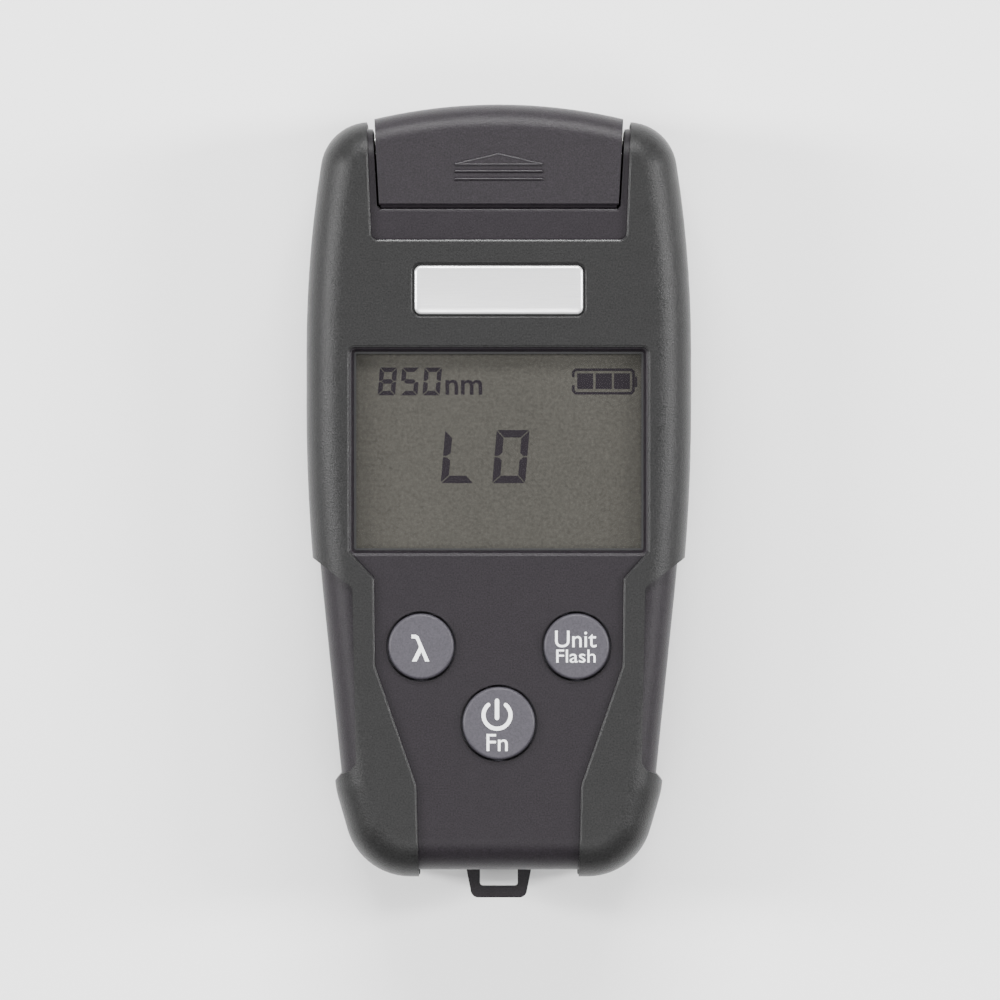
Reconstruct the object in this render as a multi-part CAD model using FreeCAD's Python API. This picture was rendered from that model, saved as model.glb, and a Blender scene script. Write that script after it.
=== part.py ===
import FreeCAD, Part
import math
import os

from FreeCAD import Vector

# Optical power meter, lying on its back: X to the right, Y towards the port end, Z out of the front.
# Lengths in millimetres. Z = 0 is the plane the back rests on. Y is counted from the middle of the
# case without its loop; the finished pieces are moved so that the whole meter is centred on Y = 0.

# --- case outline: the widest half width, and how far each station is drawn in from it ----------
half_width = 32.42
ear_draw_in = 3.57
heel_draw_in = 5.02
foot_draw_in = 9.22
ear_top = 63.7
shoulder_y = 40.7
waist_y = 0.0
foot_y = -63.45
heel_up = 14.45
ear_radius = 8.3
shoulder_radius = 200.0
waist_radius = 300.0
heel_radius = 12.0
foot_radius = 11.0

# --- case section ------------------------------------------------------------------------------
parting = 17.0
armour_side = 1.2
armour_face = 1.0
wall = 2.0
front_round = 6.5
back_round = 5.5
armour_gap = 0.1
lip_height = 1.4
lip_thickness = 0.9
slip = 0.1
inner_chamfer = 1.8
edge_break = 0.3

# --- battery bay -------------------------------------------------------------------------------
cell_radius = 7.25
cell_length = 50.5
cell_nub_radius = 2.75
cell_nub = 1.0
cell_edge = 0.5
cell_gap = 0.35
leaf_reach = 4.0
leaf_half = 2.5
leaf_foot = 5.2
leaf_flat = 1.6
contact_thick = 0.4
contact_half = 6.2
tray_up = 6.45
tray_wall = 1.4
door_half = 16.2
door_lap = 2.6
door_thick = 2.4
tongue = 1.2
tongue_thick = 1.2
door_gap = 0.2
rail_wall = 1.4
rail_width = 2.0
thumb_ridges = 5
thumb_ridge_pitch = 1.8
thumb_ridge = (12.0, 0.9, 0.5)
thumb_arrow = (3.0, 2.6, 0.4)

# --- boards ------------------------------------------------------------------------------------
board_gap = 0.55
board_thick = 1.6
board_margin = 4.4
board_top = 36.4
board_up = 7.45
board_screw_head = (1.9, 0.7)
board_screw_reach = 4.0
post_radius = 2.4
post_pilot = 0.9
upper_post_in = 8.02
upper_post_y = 32.0
lower_post_in = 11.82
lower_post_y = -14.6
chip_room = 3.8
controller = (-4.0, 9.0, 12.0, 12.0, 1.4)
amplifier = (12.5, 16.0, 6.0, 5.0, 1.5)
crystal = (-16.0, 9.0, 3.4, 8.0, 2.4)
beeper_at = (13.0, 2.0)
beeper_radius = 4.0
beeper_height = 2.5
header_half = 6.0
header_overlap = 3.0
header_height = 2.5

# --- display, from the backlight up to the face of the armour ------------------------------------
frame_floor = 1.2
backlight_thick = 2.4
glass_thick = 2.0
glass_gap = 0.2
lens_thick = 1.2
lens_depth = 1.2
display_margin = 8.07
view_foot = -8.5
view_top = 24.95
bezel_chamfer = 0.8
bezel_foot_chamfer = 0.13
lens_lap = 1.35
glass_lap = 1.05
glass_lap_ends = 1.6
frame_wall = 0.9
frame_clear = 0.15
strip_width = 1.2
strip_inset = 0.5
strip_short = 2.0

# --- armour openings ---------------------------------------------------------------------------
leg_shoulder_in = 4.15
leg_shoulder_y = -13.15
leg_waist_in = 4.32
leg_waist_up = 35.55
leg_ankle_in = 11.28
leg_ankle_up = 15.45
leg_foot_in = 11.8
grip_in = 3.4
grip_top = -14.75
grip_up = 19.15
grip_top_slope = 0.71
grip_foot_slope = 1.134
back_window_in = 10.4
back_window_top = 40.0
back_leg_gap = 1.0

# --- port bay and dust cover -------------------------------------------------------------------
bay_wall_top = 49.0
bay_wall = 2.4
bay_frame_foot = 43.67
bay_frame_gap = 1.33
bay_back_end = 59.1
bay_lip = 1.9
bay_lip_thick = 1.7
bay_lip_drop = 1.2
cover_foot = 49.55
cover_ear_margin = 7.9
cover_taper = 0.83
cover_corner_y = 64.15
cover_crown_y = 66.6
cover_sink = 0.2
cover_wall = 2.0
cover_cheek = 1.6
cover_round = 4.5
cover_gap = 0.36
cover_edge = 0.5
bay_edge = (0.5, 0.3)
cheek_foot = 8.0
hinge_y = 60.9
hinge_z = 7.5
barrel_radius = 3.2
pin_radius = 1.2
pin_end_cover = 4.85
pin_run_fit = 0.06
pin_press_fit = 0.02
washer_radius = 1.8
washer_thick = 0.1
washer_gap = 0.13
mark_height = 0.3
mark_bevel = 0.22
mark_half = 7.5
mark_tip_y = 58.3
mark_base_y = 56.35
mark_ridge_width = 0.62
mark_ridge_y = (55.25, 53.95)

# --- keys --------------------------------------------------------------------------------------
side_key_x = 13.05
side_key_up = 38.85
side_key_radius = 5.53
power_key_up = 25.95
power_key_radius = 6.1
key_gap = 0.38
key_rise = 1.2
key_edge = 0.35
key_flange = 1.0
key_flange_lap = 1.0
key_slack = 0.1
switch_size = 6.0
switch_height = 3.5
plunger_radius = 1.6
plunger_gap = 0.12
plunger_depth = 0.9
plunger_room = 0.9

# --- case screws -------------------------------------------------------------------------------
upper_boss_in = 7.82
upper_boss_y = 41.0
lower_boss_in = 7.1
lower_boss_up = 13.45
boss_radius = 3.4
column_radius = 4.2
screw_radius = 1.5
screw_head_radius = 2.7
screw_head = 2.2
screw_seat = 8.0
screw_reach = 14.0
screw_slot = (2.6, 0.7, 1.0)

# --- optical port ------------------------------------------------------------------------------
mount_headroom = 2.0
mount_half = 8.0
mount_depth = 8.0
ferrule_radius = 1.26
sleeve_wall = 0.75
adapter_flange = 15.0
adapter_flange_thick = 2.0
adapter_body_radius = 5.0
adapter_body = 2.4
adapter_thread_radius = 3.95
adapter_thread = 6.4
adapter_wall = 1.0
adapter_screw_in = 2.2
adapter_screw_radius = 0.95
adapter_screw_head = (1.8, 1.2)
adapter_screw_reach = 3.0
adapter_key_half = 0.95
spigot_radius = 4.6
diode_radius = 4.1
diode_can = 4.6
diode_rim = 0.9
diode_seat = 1.2
diode_lead = 0.25
diode_lead_circle = 2.54
detector_board_half = 9.5
detector_board_height = 17.0
detector_board_thick = 1.6

# --- lanyard loop ------------------------------------------------------------------------------
loop_root_half = 5.5
loop_tip_half = 4.55
loop_reach = 3.95
loop_slot_half = 3.2
loop_bar = 1.95
loop_thick = 3.8

# --- name plate --------------------------------------------------------------------------------
plate_width = 28.3
plate_height = 8.15
plate_y = 35.3
plate_thick = 0.7
plate_corner = 1.07
plate_edge = 0.2
plate_gap = 0.3
plate_pocket = 0.6

# --- stations worked out from the foot of the case -----------------------------------------------
heel_y = foot_y + heel_up
leg_waist_y = foot_y + leg_waist_up
leg_ankle_y = foot_y + leg_ankle_up
grip_foot = foot_y + grip_up
tray_foot = foot_y + tray_up
tray_head = tray_foot + cell_length + leaf_reach + 2 * contact_thick
door_top = tray_head + door_lap
board_foot = foot_y + board_up
side_key_y = foot_y + side_key_up
power_key_y = foot_y + power_key_up
lower_boss_y = foot_y + lower_boss_up
loop_tip = foot_y - loop_reach
middle_y = (cover_crown_y + loop_tip) / 2

# --- widths worked out from the above ------------------------------------------------------------
ear_half_width = half_width - ear_draw_in
heel_half_width = half_width - heel_draw_in
foot_half_width = half_width - foot_draw_in
view_half = half_width - display_margin
window_half = view_half + bezel_chamfer
window_top = view_top + bezel_chamfer
window_foot = view_foot - bezel_foot_chamfer
glass_half = view_half + glass_lap
glass_foot = view_foot - glass_lap_ends
glass_top = view_top + glass_lap_ends
cover_top_half = ear_half_width - cover_ear_margin
cover_foot_half = cover_top_half - cover_taper
bay_frame_half = cover_foot_half + bay_frame_gap
pin_half = ear_half_width - pin_end_cover
case_bosses = [(half_width - upper_boss_in, upper_boss_y), (heel_half_width - lower_boss_in, lower_boss_y)]
board_posts = [(half_width - upper_post_in, upper_post_y), (half_width - lower_post_in, lower_post_y)]
cell_x = cell_radius + cell_gap
tray_half = cell_x + cell_radius + cell_gap
adapter_screw_at = adapter_flange / 2 - adapter_screw_in

# --- levels worked out from the back to the front ------------------------------------------------
back_z = armour_face
floor_z = back_z + wall
door_z = back_z + door_thick
cell_z = door_z + door_gap + cell_radius
tray_roof = cell_z + cell_radius + cell_gap
board_z = tray_roof + tray_wall + board_gap
board_face = board_z + board_thick
backlight_z = board_face + chip_room + frame_floor
glass_z = backlight_z + backlight_thick
lens_z = glass_z + glass_thick + glass_gap + lens_thick
panel_z = lens_z + lens_depth
thickness = panel_z + armour_face
roof_z = panel_z - wall
cover_front = thickness - cover_sink
port_z = roof_z - mount_headroom - mount_half
flange_z = roof_z - key_slack - key_flange


def corner_wire(corners):
    """Closed wire through (x, y, radius) corners, each rounded by its own radius."""
    starts, ends, middles = [], [], []
    count = len(corners)
    for i, (x, y, radius) in enumerate(corners):
        here = Vector(x, y, 0)
        before = Vector(corners[i - 1][0], corners[i - 1][1], 0) - here
        after = Vector(corners[(i + 1) % count][0], corners[(i + 1) % count][1], 0) - here
        before.normalize()
        after.normalize()
        if radius <= 0:
            starts.append(here)
            ends.append(here)
            middles.append(None)
            continue
        half = before.getAngle(after) / 2
        reach = radius / math.tan(half)
        inward = (before + after).normalize()
        middle = here + inward * (radius / math.sin(half) - radius)
        starts.append(here + before * reach)
        ends.append(here + after * reach)
        middles.append(middle)
    edges = []
    for i in range(count):
        if middles[i] is not None:
            edges.append(Part.Arc(starts[i], middles[i], ends[i]).toShape())
        following = starts[(i + 1) % count]
        if (ends[i] - following).Length > 1e-6:
            edges.append(Part.LineSegment(ends[i], following).toShape())
    return Part.Wire(edges)


def mirrored(corners):
    """A right-hand run of corners, closed by its mirror image across X = 0."""
    return corners + [(-x, y, r) for x, y, r in reversed(corners)]


def prism(corners, z0, z1):
    face = Part.Face(corner_wire(corners))
    face.translate(Vector(0, 0, z0))
    return face.extrude(Vector(0, 0, z1 - z0))


def flared(corners, z0, z1, face_z):
    """Prism whose mouth opens in two slopes, to ease the edge that it leaves in a face at face_z."""
    wire = corner_wire(corners)
    levels = [(0.0, -edge_break), (0.35 * edge_break, -0.3 * edge_break), (1.65 * edge_break, 0.3 * edge_break)]
    rings = []
    for grow, rise in levels:
        ring = wire.makeOffset2D(grow) if grow else wire.copy()
        ring.translate(Vector(0, 0, face_z + rise))
        rings.append(ring)
    mouths = [Part.makeLoft(pair, True, True) for pair in (rings[:2], rings[1:])]
    return prism(corners, z0, z1).fuse(mouths)


def box(x0, x1, y0, y1, z0, z1):
    return Part.makeBox(x1 - x0, y1 - y0, z1 - z0, Vector(x0, y0, z0))


def post(x, y, z0, z1, radius):
    return Part.makeCylinder(radius, z1 - z0, Vector(x, y, z0))


def rod(y0, y1, radius, x=0.0, z=port_z):
    """Cylinder along Y."""
    return Part.makeCylinder(radius, y1 - y0, Vector(x, y0, z), Vector(0, 1, 0))


def axle(x0, x1, radius):
    """Cylinder along X on the hinge line."""
    return Part.makeCylinder(radius, x1 - x0, Vector(x0, hinge_y, hinge_z), Vector(1, 0, 0))


def slab_corners(cx, cy, width, height, radius):
    right, left = cx + width / 2, cx - width / 2
    top, foot = cy + height / 2, cy - height / 2
    return [(right, top, radius), (right, foot, radius), (left, foot, radius), (left, top, radius)]


def slab(cx, cy, width, height, z0, z1, radius=0.0):
    return prism(slab_corners(cx, cy, width, height, radius), z0, z1)


def across(half, corners):
    """Prism along X, from a run of (y, z) corners."""
    points = [Vector(-half, y, z) for y, z in corners + corners[:1]]
    return Part.Face(Part.makePolygon(points)).extrude(Vector(2 * half, 0, 0))


def both_sides(shape):
    return shape.fuse(shape.mirror(Vector(0, 0, 0), Vector(1, 0, 0)))


def fused(first, others):
    return first.fuse(others) if others else first


def group(shapes):
    return Part.makeCompound(shapes)


def edges_at(shape, z):
    """Edges that lie wholly in the plane at height z."""
    flat = [e for e in shape.Edges if abs(e.BoundBox.ZMin - z) < 1e-4 and abs(e.BoundBox.ZMax - z) < 1e-4]
    return flat


body_corners = mirrored([
    (ear_half_width, ear_top, ear_radius),
    (half_width, shoulder_y, shoulder_radius),
    (half_width, waist_y, waist_radius),
    (heel_half_width, heel_y, heel_radius),
    (foot_half_width, foot_y, foot_radius),
])


def outline(inset, z0, z1):
    """Case outline drawn in by an inset and extruded."""
    wire = corner_wire(body_corners)
    if inset > 0:
        wire = wire.makeOffset2D(-inset)
    face = Part.Face(wire)
    face.translate(Vector(0, 0, z0))
    return face.extrude(Vector(0, 0, z1 - z0))


def front_form(inset, top, radius):
    solid = outline(inset, parting, top)
    return solid.makeFillet(radius, edges_at(solid, top))


def rear_form(inset, bottom, radius):
    solid = outline(inset, bottom, parting)
    return solid.makeFillet(radius, edges_at(solid, bottom))


def cavity(z0, z1, chamfer_z):
    """Hollow inside a shell half, its far edge cut at a slope to keep the wall even."""
    solid = outline(armour_side + wall, z0, z1)
    solid = solid.makeChamfer(inner_chamfer, edges_at(solid, chamfer_z))
    return solid.common(box(-99, 99, -99, bay_wall_top - bay_wall, z0, z1))


# --- openings shared by the shells and the armour ------------------------------------------------
def panel_opening(z0, z1):
    corners = [(window_half, window_top, 1.0), (window_half, window_foot, 0.4)]
    corners += [(window_half - leg_shoulder_in, leg_shoulder_y, 0.6), (window_half - leg_waist_in, leg_waist_y, 3.0)]
    corners += [(window_half - leg_ankle_in, leg_ankle_y, 3.0), (window_half - leg_foot_in, foot_y - 5, 0.0)]
    return flared(mirrored(corners), z0, z1, thickness)


def grip_opening(z0, z1):
    """Side grip on the right-hand side, where the armour leaves the shell bare."""
    far = half_width + 4
    grip_x = heel_half_width - grip_in
    toe_x, toe_y = grip_x + 2.5, grip_foot - 1.75
    corners = [(far, grip_top + grip_top_slope * (far - grip_x), 0.0), (grip_x + 0.6, grip_top, 1.2)]
    corners += [(grip_x, grip_foot, 1.0), (grip_x + 1.0, grip_foot - 1.3, 0.6)]
    corners += [(toe_x, toe_y, 0.4), (far, toe_y - grip_foot_slope * (far - toe_x), 0.0)]
    return prism(corners, z0, z1)


def bay_slope(y):
    """Half width of the dust cover at a height y."""
    run = (y - cover_foot) / (cover_corner_y - cover_foot)
    return cover_foot_half + (cover_top_half - cover_foot_half) * run


def bay_opening(z0, z1):
    top = cover_crown_y + 5
    corners = [(bay_slope(top) + cover_gap, top, 0.0)]
    corners += [(bay_slope(bay_wall_top) + cover_gap, bay_wall_top, 0.7)]
    return prism(mirrored(corners), z0, z1)


def bay_frame_opening(z0, z1):
    corners = [(bay_frame_half + 1.1, cover_crown_y + 5, 0.0)]
    corners += [(bay_frame_half, bay_frame_foot, 1.3)]
    return flared(mirrored(corners), z0, z1, thickness)


# --- fastening ----------------------------------------------------------------------------------
def four(places, maker):
    """One shape at each place and at its mirror image."""
    return [maker(s * x, y) for x, y in places for s in (1, -1)]


def front_bosses():
    return four(case_bosses, lambda x, y: post(x, y, parting, roof_z + 0.5, boss_radius))


def board_posts_under_roof():
    return four(board_posts, lambda x, y: post(x, y, board_face, roof_z + 0.5, post_radius))


def case_pilots():
    return four(case_bosses, lambda x, y: post(x, y, parting, screw_seat + screw_reach + 1, screw_radius))


def board_pilots():
    return four(board_posts, lambda x, y: post(x, y, board_face, board_face + board_screw_reach + 1, post_pilot))


# --- keys ---------------------------------------------------------------------------------------
key_places = {
    "wavelength": (-side_key_x, side_key_y, side_key_radius),
    "unit": (side_key_x, side_key_y, side_key_radius),
    "power": (0.0, power_key_y, power_key_radius),
}


def key_cap(x, y, radius):
    """Round key with a crowned top, held in by a flange under the front shell."""
    top = panel_z + key_rise
    cap = post(x, y, flange_z, top, radius)
    cap = cap.makeChamfer(key_edge, edges_at(cap, top))
    return cap.fuse(post(x, y, flange_z, flange_z + key_flange, radius + key_flange_lap))


def switch_base(x, y):
    base = slab(x, y, switch_size, switch_size, board_face, board_face + switch_height, 0.4)
    well_foot = board_face + switch_height - plunger_depth - plunger_room
    well = post(x, y, well_foot, board_face + 2 * switch_height, plunger_radius + plunger_gap)
    return base.cut(well)


def plunger(x, y):
    return post(x, y, board_face + switch_height - plunger_depth, flange_z, plunger_radius)


# --- front half ---------------------------------------------------------------------------------
def make_front_shell():
    shell = front_form(armour_side, panel_z, front_round - armour_side)
    shell = shell.cut(cavity(parting, roof_z, roof_z))
    shell = fused(shell, front_bosses() + board_posts_under_roof())
    shell = shell.common(front_form(armour_side, panel_z, front_round - armour_side))
    rebate = outline(armour_side + wall - lip_thickness - slip, parting, parting + lip_height + slip)
    rebate = rebate.cut(outline(armour_side + wall, parting, parting + lip_height + slip))
    rebate = rebate.common(box(-99, 99, -99, bay_wall_top - bay_wall, 0, 99))
    for clear in four(case_bosses, lambda x, y: post(x, y, 0, 99, boss_radius)):
        rebate = rebate.cut(clear)
    return shell.cut(rebate).cut(front_shell_cuts()).fuse(bay_ledge())


def front_shell_cuts():
    view_mid = (view_top + view_foot) / 2
    view_height = view_top - view_foot
    cuts = [slab(0, view_mid, 2 * view_half, view_height, roof_z - 3, thickness, 0.5)]
    cuts.append(bezel_cut(view_mid, view_height))
    cuts.append(slab(0, view_mid, 2 * (view_half + lens_lap + slip), view_height + 2 * (lens_lap + slip),
                     roof_z - 3, lens_z, 0.8))
    for x, y, radius in key_places.values():
        cuts.append(post(x, y, roof_z - 3, thickness, radius + key_gap))
    cuts += [bay_opening(parting - 1, thickness + 1), port_hole()]
    back, drop = bay_edge
    slope = [(bay_wall_top - back, panel_z), (bay_wall_top + back, panel_z - 2 * drop)]
    cuts.append(across(bay_slope(bay_wall_top), slope + [(bay_wall_top + back, thickness)]))
    return fused(cuts[0], cuts[1:] + case_pilots() + board_pilots())


def bay_ledge():
    """Ledge on the port wall that closes the gap under the cover's foot."""
    half = bay_slope(cover_foot) - cover_cheek - 1.0
    top = cover_front - cover_wall - bay_lip_drop
    return box(-half, half, bay_wall_top - 0.5, bay_wall_top + bay_lip, top - bay_lip_thick, top)


def bezel_cut(view_mid, view_height):
    """Sloped edge that runs round the display aperture, easier at its brim."""
    rings = []
    for grow, drop, radius in ((0.0, bezel_chamfer, 0.5), (0.55 * bezel_chamfer, 0.25 * bezel_chamfer, 0.8),
                               (1.15 * bezel_chamfer, 0.0, 1.0)):
        ring = corner_wire(slab_corners(0, view_mid, 2 * (view_half + grow), view_height + 2 * grow, radius))
        ring.translate(Vector(0, 0, panel_z - drop))
        rings.append(ring)
    lower, brim = [Part.makeLoft(pair, True, True) for pair in (rings[:2], rings[1:])]
    return lower.fuse(brim)


def port_hole():
    """Hole for the adapter's spigot, with the clearance holes of its two screws."""
    y0, y1 = bay_wall_top - bay_wall - 1, bay_wall_top + 1
    return rod(y0, y1, spigot_radius + slip).fuse(screw_rods(y0, y1, adapter_screw_radius + slip))


def make_front_overmould():
    lift = parting + armour_gap
    armour = front_form(0, thickness, front_round).cut(front_form(armour_side, panel_z, front_round - armour_side))
    armour = armour.common(box(-99, 99, -99, 99, lift, thickness + 1))
    armour = armour.cut(panel_opening(parting - 1, thickness + 1))
    armour = armour.cut(both_sides(grip_opening(parting - 1, thickness + 1)))
    armour = armour.cut(bay_frame_opening(parting - 1, thickness + 1))
    corners = slab_corners(0, plate_y, plate_width + 2 * plate_gap, plate_height + 2 * plate_gap,
                           plate_corner + plate_gap)
    return armour.cut(flared(corners, thickness - plate_pocket, thickness + 1, thickness))


def make_name_plate():
    foot = thickness - plate_pocket
    plate = slab(0, plate_y, plate_width, plate_height, foot, foot + plate_thick, plate_corner)
    return plate.makeChamfer(plate_edge, edges_at(plate, foot + plate_thick))


# --- rear half ----------------------------------------------------------------------------------
def make_rear_shell():
    form = rear_form(armour_side, back_z, back_round - armour_side)
    shell = form.cut(cavity(floor_z, parting, floor_z))
    inside = [post(x, y, back_z, parting, column_radius) for x, y in signed(case_bosses)]
    inside.append(tray_body())
    inside.append(door_rail_body())
    shell = fused(shell, inside)
    upper = outline(armour_side + wall, parting, tray_roof + 5)
    shell = shell.common(fused(form, [upper]))
    shell = fused(shell, [lip(), loop()])
    return shell.cut(rear_shell_cuts())


def signed(places):
    return [(s * x, y) for x, y in places for s in (1, -1)]


def lip():
    ring = outline(armour_side + wall - lip_thickness, parting - 1, parting + lip_height)
    ring = ring.cut(outline(armour_side + wall, parting - 1, parting + lip_height))
    ring = ring.common(box(-99, 99, -99, bay_wall_top - bay_wall, 0, 99))
    for x, y in signed(case_bosses):
        ring = ring.cut(post(x, y, parting, 99, boss_radius + 4 * slip))
    return ring


def tray_body():
    return box(-tray_half - tray_wall, tray_half + tray_wall, tray_foot - tray_wall, tray_head + tray_wall,
               floor_z - 0.5, tray_roof + tray_wall)


def door_rail_body():
    """Thicker floor on both sides of the door, with the grooves for its tongues."""
    reach = door_half + tongue + rail_width
    return box(-reach, reach, foot_y + armour_side, door_top + rail_width, back_z, door_z + rail_wall)


def rear_shell_cuts():
    groove = door_half + tongue + door_gap
    cuts = [box(-tray_half, tray_half, tray_foot, tray_head, back_z - 1, tray_roof)]
    cuts.append(box(-door_half - door_gap, door_half + door_gap, -99, door_top + door_gap, 0, door_z + door_gap))
    cuts.append(box(-groove, groove, -99, door_top + door_gap, door_z - tongue_thick - door_gap, door_z + door_gap))
    cuts.append(bay_opening(floor_z, parting + 1))
    cuts.append(box(-99, 99, bay_back_end, 99, 0, 99).common(bay_opening(0, 99)))
    cuts.append(axle(-99, 99, pin_radius + pin_press_fit))
    cuts.append(port_hole())
    for x, y in signed(case_bosses):
        cuts.append(post(x, y, -1, screw_seat, screw_head_radius + 0.3))
        cuts.append(post(x, y, -1, parting + 1, screw_radius + 0.1))
    return fused(cuts[0], cuts[1:])


def loop():
    """Lanyard loop moulded on the foot of the rear shell."""
    root = foot_y + armour_side
    corners = mirrored([(loop_root_half, root + 1.0, 0.0), (loop_root_half, root - 0.2, 0.0),
                        (loop_tip_half, loop_tip, 1.3)])
    bar = prism(corners, parting - loop_thick, parting)
    slot_foot = loop_tip + loop_bar
    slot_top = root
    slot = slab(0, (slot_foot + slot_top) / 2, 2 * loop_slot_half, slot_top - slot_foot,
                parting - loop_thick - 1, parting + 1, 0.55)
    return bar.cut(slot)


def back_opening(z0, z1):
    """Window in the rear armour, through which the shell and the battery door show."""
    back_half = half_width - back_window_in
    leg_half = door_half + tongue + back_leg_gap
    corners = [(back_half, back_window_top, 3.0), (back_half, window_foot, 0.6)]
    corners += [(leg_half, window_foot - (back_half - leg_half), 0.6), (leg_half, foot_y - 5, 0.0)]
    return prism(mirrored(corners), z0, z1)


def make_rear_overmould():
    top = parting - armour_gap
    armour = rear_form(0, 0, back_round).cut(rear_form(armour_side, back_z, back_round - armour_side))
    armour = armour.common(box(-99, 99, -99, 99, -1, top))
    leg_foot_x = window_half - leg_foot_in
    foot_gap = box(-leg_foot_x, leg_foot_x, foot_y - 1, foot_y + armour_side + 0.5, -1, 99)
    cuts = [both_sides(grip_opening(-1, parting + 1)), foot_gap, back_opening(-1, back_round)]
    cuts.append(bay_frame_opening(floor_z, parting + 1))
    cuts.append(box(-99, 99, bay_back_end, 99, -1, 99).common(bay_frame_opening(-1, 99)))
    cuts += [post(x, y, -1, parting / 2, screw_head_radius + 0.8) for x, y in signed(case_bosses)]
    return armour.cut(fused(cuts[0], cuts[1:]))


# --- battery door -------------------------------------------------------------------------------
def make_battery_door():
    form = rear_form(armour_side, back_z, back_round - armour_side)
    plate = form.common(box(-door_half, door_half, -99, door_top, back_z, door_z))
    tongues = box(-door_half - tongue, door_half + tongue, tray_foot, door_top, door_z - tongue_thick, door_z)
    door = plate.fuse(tongues)
    width, height, depth = thumb_ridge
    first = door_top - 5.0
    ridges = [slab(0, first - thumb_ridge_pitch * i, width, height, back_z - 1, back_z + depth, height / 2 - 0.05)
              for i in range(thumb_ridges)]
    half, length, depth = thumb_arrow
    arrow_y = first - thumb_ridge_pitch * thumb_ridges
    arrow = prism([(half, arrow_y, 0.0), (0.0, arrow_y - length, 0.0), (-half, arrow_y, 0.0)],
                  back_z - 1, back_z + depth)
    return door.cut(fused(arrow, ridges))


# --- dust cover ---------------------------------------------------------------------------------
def cover_face(shrink_side, shrink_top, foot):
    """Plan of the cover, drawn in at the sides and the crown."""
    side = bay_slope(foot) - shrink_side
    top_side = cover_top_half - shrink_side
    corner = cover_corner_y - shrink_top
    crown = cover_crown_y - shrink_top
    arc = Part.Arc(Vector(-top_side, corner, 0), Vector(0, crown, 0), Vector(top_side, corner, 0)).toShape()
    edges = [arc, Part.LineSegment(Vector(top_side, corner, 0), Vector(side, foot, 0)).toShape()]
    edges.append(Part.LineSegment(Vector(side, foot, 0), Vector(-side, foot, 0)).toShape())
    edges.append(Part.LineSegment(Vector(-side, foot, 0), Vector(-top_side, corner, 0)).toShape())
    return Part.Face(Part.Wire(edges))


def cover_form(shrink_side, shrink_top, foot, z1, radius):
    face = cover_face(shrink_side, shrink_top, foot)
    solid = face.extrude(Vector(0, 0, z1 - hinge_z))
    solid.translate(Vector(0, 0, hinge_z))
    crown = [e for e in edges_at(solid, z1) if e.BoundBox.YMin > hinge_y]
    return solid.makeFillet(radius, crown)


def make_dust_cover():
    cover = cover_form(0, 0, cover_foot, cover_front, cover_round)
    brim = [e for e in edges_at(cover, cover_front) if e.BoundBox.YMax < cover_foot + 1]
    cover = cover.makeFillet(cover_edge, brim)
    inner = cover_form(cover_cheek, cover_wall, cover_foot - 2, cover_front - cover_wall, cover_round - cover_wall)
    cover = cover.cut(inner)
    behind = [(cover_foot - 1, cover_front - cheek_foot), (cover_foot - 1, hinge_z - 1), (hinge_y, hinge_z - 1),
              (hinge_y, hinge_z), (hinge_y - barrel_radius * 0.8, hinge_z + barrel_radius * 0.6)]
    cover = cover.cut(across(half_width, behind))
    half = bay_slope(hinge_y)
    barrel = axle(-half, half, barrel_radius)
    web = box(-half + 0.2, half - 0.2, hinge_y, cover_corner_y - 0.4, hinge_z, hinge_z + barrel_radius)
    cover = cover.fuse([barrel, web]).cut(axle(-99, 99, pin_radius + pin_run_fit))
    return cover.fuse(cover_marks())


def make_hinge_washers():
    """Thin washers on the pin, between the ends of the cover's barrel and the ears."""
    near = bay_slope(hinge_y) + washer_gap
    washer = axle(near, near + washer_thick, washer_radius).cut(axle(near - 1, near + 1, pin_radius + pin_press_fit))
    return group([washer, washer.mirror(Vector(0, 0, 0), Vector(1, 0, 0))])


def cover_marks():
    """Raised arrow and two finger ridges on the front of the cover."""
    foot, top = cover_front - mark_height, cover_front + mark_height
    marks = [prism([(0, mark_tip_y, 0.0), (mark_half, mark_base_y, 0.0), (-mark_half, mark_base_y, 0.0)], foot, top)]
    marks += [slab(0, y, 2 * mark_half, mark_ridge_width, foot, top) for y in mark_ridge_y]
    return [mark.makeChamfer(mark_bevel, edges_at(mark, top)) for mark in marks]


# --- display stack ------------------------------------------------------------------------------
def make_display_window():
    view_mid = (view_top + view_foot) / 2
    return slab(0, view_mid, 2 * (view_half + lens_lap), view_top - view_foot + 2 * lens_lap,
                lens_z - lens_thick, lens_z, 0.7)


glass_mid = (glass_top + glass_foot) / 2
glass_height = glass_top - glass_foot


def make_lcd_glass():
    return slab(0, glass_mid, 2 * glass_half, glass_height, glass_z, glass_z + glass_thick)


def strip_y(end):
    reach = glass_height / 2 - strip_inset - strip_width / 2
    return glass_mid + end * reach


def make_elastomer_strips():
    width = 2 * (glass_half - strip_short)
    return group([slab(0, strip_y(end), width, strip_width, board_face, glass_z) for end in (1, -1)])


def make_display_frame():
    outer_half = glass_half + frame_clear + frame_wall
    outer_height = glass_height + 2 * (frame_clear + frame_wall)
    inner_half = glass_half + frame_clear
    outer = slab(0, glass_mid, 2 * outer_half, outer_height, board_face, glass_z + glass_thick, 1.0)
    inner = slab(0, glass_mid, 2 * inner_half, glass_height + 2 * frame_clear, board_face - 1, thickness)
    floor_height = glass_height - 2 * (strip_inset + strip_width + frame_clear)
    floor = slab(0, glass_mid, 2 * inner_half + frame_wall, floor_height, backlight_z - frame_floor, backlight_z)
    return outer.cut(inner).fuse(floor)


def make_backlight_panel():
    height = glass_height - 2 * (strip_inset + strip_width + 2 * frame_clear)
    return slab(0, glass_mid, 2 * (glass_half - frame_clear), height, backlight_z, glass_z)


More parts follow.
